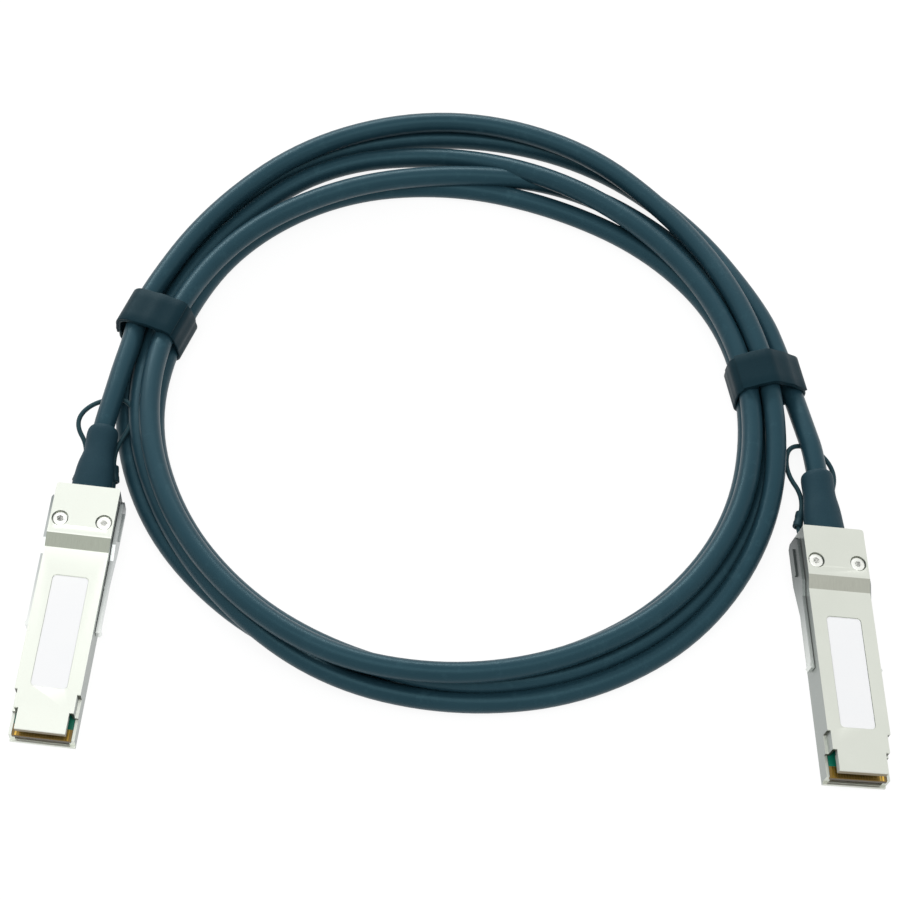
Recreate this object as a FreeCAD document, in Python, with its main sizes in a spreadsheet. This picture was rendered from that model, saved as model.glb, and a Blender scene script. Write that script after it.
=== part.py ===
import FreeCAD, Part
import math
import os
import re
import Sketcher

# A direct attach copper cable: one length of twin-axial cable, coiled and tied twice,
# with a pluggable network module at each end. Millimetres and degrees.

os.makedirs("parts", exist_ok=True)

Vector = FreeCAD.Vector
Rotation = FreeCAD.Rotation
Placement = FreeCAD.Placement
zAxis = Vector(0, 0, 1)

driving = {
    # plug body; y runs from the cable end (0) towards the nose (negative)
    "plugWidth": 18.35,
    "plugLength": 76.24,
    "bodyHeight": 8.53,
    "rearHeight": 9.7,
    "partingHeight": 4.2,
    "rampTop": 15.93,
    "rampFoot": 19.94,
    "rearCornerRadius": 0.8,
    "wallThickness": 1.575,
    "wireBayWall": 2.175,
    "roofThickness": 1.33,
    "wireBayFloor": 2.2,
    "cardBayFloor": 1.0,
    "neckHalfWidth": 3.6,
    "neckLength": 16.0,
    "rearWall": 4.6,
    # nose
    "notchSetback": 6.94,
    "tongueSetback": 0.72,
    "tongueWidth": 14.16,
    "tongueTop": 8.06,
    "tongueThickness": 1.46,
    "lipHeight": 0.9,
    "lipDepth": 0.6,
    "slotSetback": 12.52,
    "slotWidth": 0.9,
    "slotFloor": 5.2,
    # blank label
    "labelStart": 28.27,
    "labelEnd": 62.56,
    "labelWidth": 10.32,
    "labelDepth": 0.3,
    "labelThickness": 0.15,
    "labelCorner": 1.3,
    "labelClearance": 0.12,
    # cover screws
    "screwSetback": 11.17,
    "screwSpacing": 12.54,
    "counterboreDiameter": 4.8,
    "counterboreDepth": 1.6,
    "headDiameter": 4.2,
    "headHeight": 1.25,
    "socketDiameter": 1.6,
    "socketDepth": 0.7,
    "shankDiameter": 2.0,
    "shankFloor": 1.9,
    "holeClearance": 0.1,
    # circuit board
    "cardMargin": 0.965,
    "cardThickness": 1.0,
    "cardStart": 34.0,
    "cardSetback": 0.29,
    "cardClearance": 0.13,
    "padCount": 19,
    "padMargin": 1.01,
    "padWidth": 0.54,
    "padLength": 3.3,
    "padSetback": 0.2,
    "padThickness": 0.04,
    "chipLength": 6.0,
    "chipWidth": 5.0,
    "chipHeight": 1.1,
    "chipSetback": 50.0,
    # wires between the cable and the board
    "wireWidth": 1.25,
    "wireThickness": 0.7,
    "wirePitchInside": 1.55,
    "wirePitchBoard": 3.6,
    "wireLap": 4.0,
    "wireStraight": 7.5,
    "wireGap": 0.05,
    "pottingLength": 6.0,
    "pottingTop": 6.9,
    # cable and strain relief
    "cableDiameter": 6.1,
    "cableHeight": 4.7,
    "cableInset": 5.0,
    "ferruleDiameter": 7.0,
    "ferruleTail": 6.0,
    "collarDiameter": 7.8,
    "collarStart": 3.0,
    "collarWidth": 1.2,
    "fitClearance": 0.05,
    "boreClearance": 0.1,
    "bootWidth": 12.1,
    "bootHeight": 8.8,
    "bootWaistWidth": 8.4,
    "bootWaistHeight": 7.9,
    "bootEndDiameter": 7.6,
    "leftBootLength": 18.6,
    "rightBootLength": 23.2,
    # latch slider
    "runningGap": 0.2,
    "sliderThickness": 1.0,
    "sliderTravel": 2.4,
    "sliderRear": 2.2,
    "sliderFront": 43.5,
    "earTop": 7.2,
    "earBottom": 0.55,
    "earEnd": 16.5,
    "stripTop": 5.9,
    "stripBottom": 2.9,
    "stripStart": 27.0,
    "bridgeStart": 9.5,
    "bridgeLength": 6.0,
    "bridgeThickness": 0.8,
    "bridgeBottom": 0.55,
    "tailAcross": 5.6,
    "tailWidth": 2.4,
    "tailRoom": 1.9,
    "tabReach": 0.5,
    "tabLength": 1.6,
    "ribHeight": 0.45,
    "ribLength": 8.5,
    "ribWidth": 1.0,
    # return springs
    "springLength": 7.6,
    "springDiameter": 1.1,
    "springWire": 0.2,
    "springTurns": 6,
    "springBaySetback": 21.2,
    "springBayWidth": 1.15,
    "springBayHeight": 1.45,
    "springTabThickness": 0.8,
    "springClearance": 0.15,
    # pull loop
    "loopWire": 1.1,
    "sleeveDiameter": 2.3,
    "sleeveLength": 4.5,
    "sleeveStart": 3.2,
    # where the two plugs lie
    "originX": -0.4,
    "originY": -48.2,
    "leftX": -103.06,
    "leftY": -19.97,
    "leftYaw": -6.75,
    "leftRoll": 1.2,
    "leftPitch": 3.12,
    "rightX": 106.11,
    "rightY": -33.01,
    "rightYaw": 2.57,
    "rightRoll": 14.3,
    "rightPitch": 0.0,
    # coil of cable
    "coilLayer": 6.1,
    "innerMajor": 86.5,
    "innerMinor": 82.0,
    "innerTurn": -31.0,
    "innerX": 0.0,
    "innerY": 8.0,
    "outerMajor": 102.9,
    "outerMinor": 95.4,
    "outerTurn": -56.8,
    "outerX": 0.9,
    "outerY": 14.6,
    "upperWidth": 6.2,
    "coilRound": 2.6,
    "strandSink": 0.1,
    # ties
    "strapWidth": 10.5,
    "strapThickness": 1.2,
    "strapClearance": 0.35,
    "strapRound": 2.2,
    "tailThickness": 0.6,
}

doc = FreeCAD.newDocument("direct_attach_cable")
sheet = doc.addObject("Spreadsheet::Sheet", "sizes")
for row, (name, number) in enumerate(driving.items(), start=1):
    sheet.set("A%d" % row, name)
    sheet.set("B%d" % row, str(number))
    sheet.setAlias("B%d" % row, name)
derived = {
    # these follow the plug's length and width
    "notchStart": "plugLength - notchSetback",
    "tongueEnd": "plugLength - tongueSetback",
    "slotStart": "plugLength - slotSetback",
    "cardEnd": "plugLength - cardSetback",
    "cardWidth": "plugWidth - 2 * cardMargin",
    "padPitch": "(plugWidth - 2 * cardMargin - 2 * padMargin) / (padCount - 1)",
}
doc.recompute()
for row, (name, text) in enumerate(derived.items(), start=len(driving) + 1):
    sheet.set("A%d" % row, name)
    sheet.set("B%d" % row, "=" + text)
    sheet.setAlias("B%d" % row, name)
doc.recompute()


def size(name):
    return float(getattr(sheet, name))


def bind(text):
    return re.sub(r"[A-Za-z]+", lambda word: "sizes." + word.group(0), text)


# ---------------------------------------------------------------- feature helpers


def tie(item, slot, text):
    item.setExpression(slot, bind(text))


def box(name, x, y, z):
    item = doc.addObject("Part::Box", name)
    edges = (("x", "Length", x), ("y", "Width", y), ("z", "Height", z))
    for axis, edge, (low, high) in edges:
        tie(item, edge, "(%s) - (%s)" % (high, low))
        tie(item, "Placement.Base." + axis, low)
    return item


def rod(name, diameter, y, x="0", z="cableHeight"):
    """A cylinder along y between two expressions."""
    item = doc.addObject("Part::Cylinder", name)
    low, high = y
    tie(item, "Radius", "(%s) / 2" % diameter)
    tie(item, "Height", "(%s) - (%s)" % (high, low))
    item.Placement = Placement(Vector(0, 0, 0), Rotation(Vector(1, 0, 0), -90))
    tie(item, "Placement.Base.x", x)
    tie(item, "Placement.Base.y", low)
    tie(item, "Placement.Base.z", z)
    return item


def post(name, diameter, z, x, y):
    item = doc.addObject("Part::Cylinder", name)
    low, high = z
    tie(item, "Radius", "(%s) / 2" % diameter)
    tie(item, "Height", "(%s) - (%s)" % (high, low))
    tie(item, "Placement.Base.x", x)
    tie(item, "Placement.Base.y", y)
    tie(item, "Placement.Base.z", low)
    return item


def cut(name, base, tool):
    item = doc.addObject("Part::Cut", name)
    item.Base = base
    item.Tool = tool
    return item


def fuse(name, items):
    item = doc.addObject("Part::MultiFuse", name)
    item.Shapes = items
    item.Refine = True
    return item


def originPlane(body, role):
    return [item for item in body.Origin.OriginFeatures if item.Role == role][0]


def newSketch(body, name, plane, lift="0"):
    sketch = body.newObject("Sketcher::SketchObject", name)
    sketch.AttachmentSupport = (originPlane(body, plane), [""])
    sketch.MapMode = "FlatFace"
    if lift != "0":
        tie(sketch, "AttachmentOffset.Base.z", lift)
    return sketch


def pin(sketch, geometry, point, across, up):
    for kind, text in (("DistanceX", across), ("DistanceY", up)):
        index = sketch.addConstraint(Sketcher.Constraint(kind, -1, 1, geometry, point, 1.0))
        tie(sketch, "Constraints[%d]" % index, text)


def polygon(sketch, corners):
    first = sketch.GeometryCount
    count = len(corners)
    for index in range(count):
        start = 2 * math.pi * index / count
        end = 2 * math.pi * (index + 1) / count
        tail = Vector(9 * math.cos(start), 9 * math.sin(start), 0)
        head = Vector(9 * math.cos(end), 9 * math.sin(end), 0)
        sketch.addGeometry(Part.LineSegment(tail, head), False)
    for index, (across, up) in enumerate(corners):
        before = first + (index - 1) % count
        sketch.addConstraint(Sketcher.Constraint("Coincident", before, 2, first + index, 1))
        pin(sketch, first + index, 1, across, up)


def rectangle(sketch, x, y):
    polygon(sketch, [(x[0], y[0]), (x[1], y[0]), (x[1], y[1]), (x[0], y[1])])


def circle(sketch, across, up, diameter):
    index = sketch.addGeometry(Part.Circle(Vector(1, 1, 0), zAxis, 2), False)
    pin(sketch, index, 3, across, up)
    radius = sketch.addConstraint(Sketcher.Constraint("Diameter", index, 4.0))
    tie(sketch, "Constraints[%d]" % radius, diameter)


def pad(body, name, sketch, length, symmetric=False, reverse=False):
    item = body.newObject("PartDesign::Pad", name)
    item.Profile = sketch
    tie(item, "Length", length)
    if symmetric:
        item.SideType = "Symmetric"
    item.Reversed = reverse
    return item


def pocket(body, name, sketch, depth, reverse=False, symmetric=False):
    item = body.newObject("PartDesign::Pocket", name)
    item.Profile = sketch
    tie(item, "Length", depth)
    if symmetric:
        item.SideType = "Symmetric"
    item.Reversed = reverse
    return item


def roundEdges(body, name, base, radius, wanted):
    """Fillet the edges of the last feature that `wanted` picks by their middle point."""
    doc.recompute()
    names = []
    for number, edge in enumerate(base.Shape.Edges, start=1):
        if wanted(edge):
            names.append("Edge%d" % number)
    item = body.newObject("PartDesign::Fillet", name)
    item.Base = (base, names)
    tie(item, "Radius", radius)
    return item


def isUpright(edge):
    if len(edge.Vertexes) != 2:
        return False
    step = edge.Vertexes[1].Point - edge.Vertexes[0].Point
    return abs(step.x) < 1e-6 and abs(step.y) < 1e-6


# ------------------------------------------------------------ routes of the cable


def route(points):
    """Straight runs through the points, joined by tangent arcs as large as fit."""
    points = [Vector(*point) for point in points]
    edges = []
    radii = []
    start = points[0]
    for before, corner, after in zip(points, points[1:], points[2:]):
        runIn = corner - before
        runOut = after - corner
        turn = runIn.getAngle(runOut)
        reach = 0.45 * min(runIn.Length, runOut.Length)
        radii.append(reach / math.tan(turn / 2))
        inward = Vector(runIn).normalize()
        outward = Vector(runOut).normalize()
        enter = corner - inward * reach
        leave = corner + outward * reach
        bisector = (outward - inward).normalize()
        sagitta = radii[-1] * (1 / math.cos(turn / 2) - 1)
        middle = corner + bisector * sagitta
        edges.append(Part.LineSegment(start, enter).toShape())
        edges.append(Part.Arc(enter, middle, leave).toShape())
        start = leave
    edges.append(Part.LineSegment(start, points[-1]).toShape())
    return Part.Wire(edges), radii


def tube(name, points, diameter):
    path, radii = route(points)
    direction = Vector(*points[1]) - Vector(*points[0])
    section = Part.Wire(Part.Circle(Vector(*points[0]), direction, diameter / 2).toShape())
    solid = path.makePipe(Part.Face(section))
    volume = math.pi * diameter ** 2 / 4 * path.Length
    print("%s: length %.1f, smallest radius %.1f, volume / expected %.4f, valid %s" % (
        name, path.Length, min(radii), solid.Volume / volume, solid.isValid()))
    return solid


def feature(name, shape):
    item = doc.addObject("Part::Feature", name)
    item.Shape = shape
    return item


nodes = []


def node(name, item, placement=None):
    item.Label = name
    if placement is not None:
        item.Placement = placement
    nodes.append(item)
    return item


# ----------------------------------------------------------------------- the plug


def plugPlacement(side):
    """Roll about the plug's long axis, then pitch, then yaw; the lowest corner on the floor."""
    turn = Rotation(zAxis, size(side + "Yaw"))
    turn = turn.multiply(Rotation(Vector(1, 0, 0), size(side + "Pitch")))
    turn = turn.multiply(Rotation(Vector(0, 1, 0), size(side + "Roll")))
    half = size("plugWidth") / 2
    lowest = 0.0
    for x in (-half, half):
        for y in (0.0, -size("plugLength")):
            lowest = min(lowest, turn.multVec(Vector(x, y, 0)).z)
    place = Vector(size(side + "X") - size("originX"), size(side + "Y") - size("originY"), -lowest)
    return Placement(place, turn)


def ferruleChannel(body, name):
    """Stepped round channel that holds the cable's ferrule by its collar."""
    sketch = newSketch(body, name + "Profile", "YZ_Plane")
    tie(sketch, "AttachmentOffset.Base.y", "cableHeight")
    tube = "ferruleDiameter / 2 + boreClearance"
    collar = "collarDiameter / 2 + boreClearance"
    near = "-collarStart + boreClearance"
    far = "-collarStart - collarWidth - boreClearance"
    polygon(sketch, [("1", "0"), ("1", tube), (near, tube), (near, collar), (far, collar),
                     (far, tube), ("-rearWall - 1", tube), ("-rearWall - 1", "0")])
    groove = body.newObject("PartDesign::Groove", name)
    groove.Profile = sketch
    groove.ReferenceAxis = (sketch, ["H_Axis"])
    groove.Angle = 360
    return groove


def tailSpans(room):
    """Where the slider's two tails lie across the plug, widened by the given room."""
    near = "tailAcross - tailWidth / 2 - " + room
    far = "tailAcross + tailWidth / 2 + " + room
    return (near, far), ("-(%s)" % far, "-(%s)" % near)


def lowerShell(side):
    body = doc.addObject("PartDesign::Body", side + "LowerShell")
    half = "plugWidth / 2"
    outline = newSketch(body, side + "TrayOutline", "XY_Plane")
    rectangle(outline, ("-" + half, half), ("-plugLength", "0"))
    tray = pad(body, side + "Tray", outline, "partingHeight")
    roundEdges(body, side + "TrayCorners", tray, "rearCornerRadius",
               lambda edge: isUpright(edge) and edge.Vertexes[0].Y > -1)
    bay = newSketch(body, side + "CardBayOutline", "XY_Plane", "partingHeight")
    inner = "plugWidth / 2 - wallThickness"
    rectangle(bay, ("-" + inner.replace("- ", "+ "), inner), ("-plugLength - 1", "-cardStart"))
    pocket(body, side + "CardBay", bay, "partingHeight - cardBayFloor")
    seat = newSketch(body, side + "CardSeatOutline", "XY_Plane", "partingHeight")
    rectangle(seat, ("-cardWidth / 2 - cardClearance", "cardWidth / 2 + cardClearance"),
              ("-plugLength - 1", "-cardStart + cardClearance"))
    pocket(body, side + "CardSeat", seat, "cardThickness")
    wires = newSketch(body, side + "WireBayOutline", "XY_Plane", "partingHeight")
    wide = "plugWidth / 2 - wireBayWall"
    polygon(wires, [("-" + wide.replace("- ", "+ "), "-cardStart - 1"), (wide, "-cardStart - 1"),
                    (wide, "-rampFoot"), ("neckHalfWidth", "-neckLength"),
                    ("neckHalfWidth", "-rearWall"), ("-neckHalfWidth", "-rearWall"),
                    ("-neckHalfWidth", "-neckLength"),
                    ("-" + wide.replace("- ", "+ "), "-rampFoot")])
    pocket(body, side + "WireBay", wires, "partingHeight - wireBayFloor")
    lip = newSketch(body, side + "LipOutline", "XY_Plane", "partingHeight")
    rectangle(lip, ("-" + half + " - 1", half + " + 1"), ("-plugLength - 1", "-plugLength + lipDepth"))
    pocket(body, side + "Lip", lip, "partingHeight - lipHeight")
    slide = newSketch(body, side + "BridgeRecessOutline", "XY_Plane")
    rectangle(slide, ("-" + half + " - 1", half + " + 1"),
              ("-bridgeStart - bridgeLength - runningGap",
               "-bridgeStart + sliderTravel + runningGap"))
    pocket(body, side + "BridgeRecess", slide,
           "bridgeBottom + bridgeThickness + runningGap", reverse=True)
    tails = newSketch(body, side + "TailRecessOutline", "XY_Plane")
    for low, high in tailSpans("runningGap"):
        rectangle(tails, (low, high), ("-bridgeStart", "1"))
    pocket(body, side + "TailRecesses", tails, "tailRoom", reverse=True)
    holes = newSketch(body, side + "ThreadOutline", "XY_Plane", "partingHeight")
    for across in ("-screwSpacing / 2", "screwSpacing / 2"):
        circle(holes, across, "-screwSetback", "shankDiameter + 2 * holeClearance")
    pocket(body, side + "Threads", holes,
           "partingHeight - shankFloor + 2 * holeClearance")
    body.Tip = ferruleChannel(body, side + "LowerChannel")
    return body


def upperShell(side):
    body = doc.addObject("PartDesign::Body", side + "UpperShell")
    half = "plugWidth / 2"
    profile = newSketch(body, side + "CoverProfile", "YZ_Plane")
    polygon(profile, [("0", "partingHeight"), ("0", "rearHeight"), ("-rampTop", "rearHeight"),
                      ("-rampFoot", "bodyHeight"), ("-notchStart", "bodyHeight"),
                      ("-notchStart", "tongueTop"), ("-tongueEnd", "tongueTop"),
                      ("-tongueEnd", "tongueTop - tongueThickness"),
                      ("-notchStart", "tongueTop - tongueThickness"),
                      ("-notchStart", "partingHeight")])
    cover = pad(body, side + "Cover", profile, "plugWidth", symmetric=True)
    roundEdges(body, side + "CoverCorners", cover, "rearCornerRadius",
               lambda edge: isUpright(edge) and edge.Vertexes[0].Y > -1)
    notch = newSketch(body, side + "NotchOutline", "XY_Plane", "rearHeight")
    rectangle(notch, ("tongueWidth / 2", half + " + 1"), ("-tongueEnd - 1", "-notchStart"))
    rectangle(notch, ("-" + half + " - 1", "-tongueWidth / 2"), ("-tongueEnd - 1", "-notchStart"))
    pocket(body, side + "Notches", notch, "rearHeight - partingHeight")
    slots = newSketch(body, side + "SlotOutline", "XY_Plane", "rearHeight")
    rectangle(slots, (half + " - slotWidth", half + " + 1"), ("-notchStart - 1", "-slotStart"))
    rectangle(slots, ("-" + half + " - 1", "-" + half + " + slotWidth"),
              ("-notchStart - 1", "-slotStart"))
    pocket(body, side + "Slots", slots, "rearHeight - slotFloor")
    bay = newSketch(body, side + "CoverBayOutline", "XY_Plane", "partingHeight")
    inner = "plugWidth / 2 - wallThickness"
    rectangle(bay, ("-" + inner.replace("- ", "+ "), inner), ("-notchStart - 1", "-cardStart"))
    height = "bodyHeight - roofThickness - partingHeight"
    pocket(body, side + "CoverBay", bay, height, reverse=True)
    wires = newSketch(body, side + "CoverWireOutline", "XY_Plane", "partingHeight")
    wide = "plugWidth / 2 - wireBayWall"
    polygon(wires, [("-" + wide.replace("- ", "+ "), "-cardStart - 1"), (wide, "-cardStart - 1"),
                    (wide, "-rampFoot"), ("neckHalfWidth", "-neckLength"),
                    ("neckHalfWidth", "-rearWall"), ("-neckHalfWidth", "-rearWall"),
                    ("-neckHalfWidth", "-neckLength"),
                    ("-" + wide.replace("- ", "+ "), "-rampFoot")])
    pocket(body, side + "CoverWireBay", wires, height, reverse=True)
    springs = newSketch(body, side + "SpringBayOutline", "XY_Plane", "partingHeight")
    tabRoom = "-springBaySetback - springLength - 2 * fitClearance - springTabThickness"
    tabRoom += " - runningGap"
    for low, high in ((half + " - springBayWidth", half + " + 1"),
                      ("-" + half + " - 1", "-" + half + " + springBayWidth")):
        rectangle(springs, (low, high), (tabRoom, "-springBaySetback"))
    pocket(body, side + "SpringBays", springs, "springBayHeight", reverse=True)
    label = newSketch(body, side + "LabelOutline", "XY_Plane", "bodyHeight")
    rectangle(label, ("-labelWidth / 2", "labelWidth / 2"), ("-labelEnd", "-labelStart"))
    recess = pocket(body, side + "LabelRecess", label, "labelDepth")
    recess = roundEdges(body, side + "LabelCorners", recess, "labelCorner",
                        lambda edge: isUpright(edge)
                        and abs(abs(edge.Vertexes[0].X) - size("labelWidth") / 2) < 0.01
                        and edge.Length < size("labelDepth") + 0.01)
    bores = newSketch(body, side + "CounterboreOutline", "XY_Plane", "rearHeight")
    holes = newSketch(body, side + "ScrewHoleOutline", "XY_Plane", "rearHeight")
    for across in ("-screwSpacing / 2", "screwSpacing / 2"):
        circle(bores, across, "-screwSetback", "counterboreDiameter")
        circle(holes, across, "-screwSetback", "shankDiameter + 2 * holeClearance")
    pocket(body, side + "Counterbores", bores, "counterboreDepth")
    pocket(body, side + "ScrewHoles", holes, "rearHeight - partingHeight")
    body.Tip = ferruleChannel(body, side + "UpperChannel")
    return body


def latchSlider(side):
    """A U-shaped slider: two side arms, a bridge under the tray, spring and release tabs."""
    body = doc.addObject("PartDesign::Body", side + "LatchSlider")
    inside = "plugWidth / 2 + runningGap"
    outside = inside + " + sliderThickness"
    profile = newSketch(body, side + "ArmProfile", "YZ_Plane")
    polygon(profile, [("-sliderRear", "earBottom + 1.2"), ("-sliderRear", "earTop - 1.4"),
                      ("-sliderRear - 1.4", "earTop"), ("-earEnd", "earTop"),
                      ("-earEnd - 4.5", "stripTop"), ("-sliderFront", "stripTop"),
                      ("-sliderFront", "stripBottom"), ("-stripStart", "stripBottom"),
                      ("-bridgeStart - bridgeLength", "earBottom"),
                      ("-sliderRear - 1.2", "earBottom")])
    pad(body, side + "Arms", profile, "plugWidth + 2 * runningGap + 2 * sliderThickness",
        symmetric=True)
    channel = newSketch(body, side + "ChannelOutline", "XY_Plane", "earTop + 1")
    rectangle(channel, ("-plugWidth / 2 - runningGap", inside), ("-sliderFront - 1", "1"))
    pocket(body, side + "Channel", channel,
           "earTop + 1 - bridgeBottom - bridgeThickness")
    under = newSketch(body, side + "UnderOutline", "XY_Plane", "earTop")
    rectangle(under, ("-plugWidth / 2 - runningGap", inside),
              ("-sliderFront - 1", "-bridgeStart - bridgeLength"))
    rectangle(under, ("-plugWidth / 2 - runningGap", inside), ("-bridgeStart", "1"))
    pocket(body, side + "Under", under, "earTop + 1")
    tails = newSketch(body, side + "TailOutline", "XY_Plane", "bridgeBottom")
    for low, high in tailSpans("0"):
        rectangle(tails, (low, high), ("-bridgeStart - 0.5", "-sliderRear"))
    pad(body, side + "Tails", tails, "bridgeThickness")
    tabs = newSketch(body, side + "SpringTabOutline", "XY_Plane", "partingHeight + springClearance")
    rear = "-springBaySetback - springLength - 2 * fitClearance"
    for low, high in (("plugWidth / 2 - springBayWidth + springClearance", inside + " + 0.2"),
                      ("-plugWidth / 2 - runningGap - 0.2",
                       "-plugWidth / 2 + springBayWidth - springClearance")):
        rectangle(tabs, (low, high), (rear + " - springTabThickness", rear))
    pad(body, side + "SpringTabs", tabs, "springBayHeight - 2 * springClearance")
    release = newSketch(body, side + "ReleaseOutline", "XY_Plane", "stripBottom")
    front = "-sliderFront"
    for sign in ("", "-"):
        outer = sign + "(" + outside + ")"
        tip = sign + "(" + outside + " + tabReach)"
        polygon(release, [(sign + "(" + outside + " - 0.3)", front), (outer, front),
                          (tip, front + " + tabLength / 2"), (outer, front + " + tabLength"),
                          (sign + "(" + outside + " - 0.3)", front + " + tabLength")])
    pad(body, side + "ReleaseTabs", release, "stripTop - stripBottom")
    rib = newSketch(body, side + "RibOutline", "YZ_Plane", "-plugWidth / 2 - runningGap")
    middle = "(earTop + earBottom) / 2"
    rectangle(rib, ("-sliderRear - 3 - ribLength", "-sliderRear - 3"),
              (middle + " - ribWidth / 2", middle + " + ribWidth / 2"))
    pad(body, side + "RibLeft", rib, "sliderThickness + ribHeight", reverse=True)
    rib = newSketch(body, side + "RibOutlineRight", "YZ_Plane", "plugWidth / 2 + runningGap")
    rectangle(rib, ("-sliderRear - 3 - ribLength", "-sliderRear - 3"),
              (middle + " - ribWidth / 2", middle + " + ribWidth / 2"))
    body.Tip = pad(body, side + "RibRight", rib, "sliderThickness + ribHeight")
    return body


def coverScrews(side):
    items = []
    seat = "rearHeight - counterboreDepth"
    for index, across in enumerate(("-screwSpacing / 2", "screwSpacing / 2")):
        name = side + "Screw%d" % index
        head = post(name + "Head", "headDiameter", (seat, seat + " + headHeight"),
                    across, "-screwSetback")
        shank = post(name + "Shank", "shankDiameter", ("shankFloor", seat),
                     across, "-screwSetback")
        whole = fuse(name + "Solid", [head, shank])
        socket = post(name + "Socket", "socketDiameter",
                      (seat + " + headHeight - socketDepth", seat + " + headHeight + 1"),
                      across, "-screwSetback")
        items.append(cut(name, whole, socket))
    return compound(side + "Screws", items)


def compound(name, items):
    item = doc.addObject("Part::Compound", name)
    item.Links = items
    return item


def contactPads(side):
    """Two rows of gold fingers, one pad repeated along x on each face of the board."""
    count = int(size("padCount"))
    length = size("padLength")
    thickness = size("padThickness")
    front = -size("cardEnd") + size("padSetback")
    top = size("partingHeight")
    shapes = []
    for level in (top, top - size("cardThickness") - thickness):
        for index in range(count):
            across = (index - (count - 1) / 2) * size("padPitch") - size("padWidth") / 2
            corner = Vector(across, front, level)
            shapes.append(Part.makeBox(size("padWidth"), length, thickness, corner))
    return feature(side + "Pads", Part.makeCompound(shapes))


def boardChips(side):
    """A controller chip, its small parts and two rows of coupling capacitors."""
    top = size("partingHeight")
    length = size("chipLength")
    width = size("chipWidth")
    setback = -size("chipSetback")
    chip = Part.makeBox(width, length, size("chipHeight"),
                        Vector(-width / 2, setback - length / 2, top))
    shapes = [chip.makeChamfer(0.15, [edge for edge in chip.Edges if edge.CenterOfMass.z > top
                                      + size("chipHeight") - 0.01])]
    for row in (-1, 1):
        for index in range(4):
            x = (index - 1.5) * 3.4 - 0.5
            y = setback + row * (length / 2 + 3.0) - 0.25
            shapes.append(Part.makeBox(1.0, 0.5, 0.5, Vector(x, y, top)))
    return feature(side + "Chips", Part.makeCompound(shapes))


def wireShapes():
    """Eight flat twin-conductor pairs that fan out from the cable to the board."""
    half = size("wireWidth") / 2
    start = -size("cableInset") - size("wireGap")
    knee = start - size("wireStraight")
    land = -size("cardStart") + 1.0
    end = -size("cardStart") - size("wireLap")
    cardTop = size("partingHeight")
    levels = (cardTop + size("wireGap"),
              cardTop - size("cardThickness") - size("wireGap") - size("wireThickness"))
    shapes = []
    for level in levels:
        for index in (-1.5, -0.5, 0.5, 1.5):
            inside = index * size("wirePitchInside")
            board = index * size("wirePitchBoard")
            corners = [(inside - half, start), (inside - half, knee), (board - half, land),
                       (board - half, end), (board + half, end), (board + half, land),
                       (inside + half, knee), (inside + half, start)]
            wire = Part.makePolygon([Vector(x, y, level) for x, y in corners + corners[:1]])
            shapes.append(Part.Face(wire).extrude(Vector(0, 0, size("wireThickness"))))
    return shapes


def pottingBlock(side, wires):
    half = size("plugWidth") / 2 - size("wireBayWall") - size("fitClearance")
    near = -size("cardStart") + size("cardClearance") + size("fitClearance")
    bottom = size("wireBayFloor") + size("fitClearance")
    block = Part.makeBox(2 * half, size("pottingLength"), size("pottingTop") - bottom,
                         Vector(-half, near, bottom))
    rounded = block.makeFillet(0.8, [edge for edge in block.Edges
                                     if edge.CenterOfMass.z > size("pottingTop") - 0.01])
    return feature(side + "Potting", rounded.cut(wires))


def helixSpring():
    """A short compression spring wound along z, eight straight chords to each turn."""
    radius = (size("springDiameter") - size("springWire")) / 2
    rise = size("springLength") - size("springWire")
    steps = int(round(8 * size("springTurns")))
    half = size("springWire") / 2
    corners = []
    for index in range(steps + 1):
        turn = math.radians(45 * index)
        level = rise * index / steps
        ring = []
        for out, up in ((-half, -half), (half, -half), (half, half), (-half, half)):
            reach = radius + out
            ring.append(Vector(reach * math.cos(turn), reach * math.sin(turn), level + up))
        corners.append(ring)
    faces = [flatFace(corners[0]), flatFace(list(reversed(corners[-1])))]
    for lower, upper in zip(corners, corners[1:]):
        for index in range(4):
            after = (index + 1) % 4
            faces.append(flatFace([lower[index], lower[after], upper[after]]))
            faces.append(flatFace([lower[index], upper[after], upper[index]]))
    return Part.Solid(Part.Shell(faces))


def flatFace(points):
    return Part.Face(Part.makePolygon(points + points[:1]))


def returnSprings(side):
    shapes = []
    across = size("plugWidth") / 2 - size("springBayWidth") / 2
    height = size("partingHeight") + size("springBayHeight") / 2
    start = -size("springBaySetback") - size("springWire") / 2 - size("fitClearance")
    for sign in (-1, 1):
        spring = helixSpring()
        spring.Placement = Placement(Vector(sign * across, start, height),
                                     Rotation(Vector(1, 0, 0), 90))
        shapes.append(spring)
    return feature(side + "Springs", Part.makeCompound(shapes))


def cableFerrule(side):
    back = rod(side + "FerruleTube", "ferruleDiameter", ("-cableInset", "ferruleTail"))
    collar = rod(side + "FerruleCollar", "collarDiameter",
                 ("-collarStart - collarWidth", "-collarStart"))
    bore = rod(side + "FerruleBore", "cableDiameter + 2 * fitClearance",
               ("-cableInset - 1", "ferruleTail + 1"))
    return cut(side + "Ferrule", fuse(side + "FerruleSolid", [back, collar]), bore)


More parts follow.
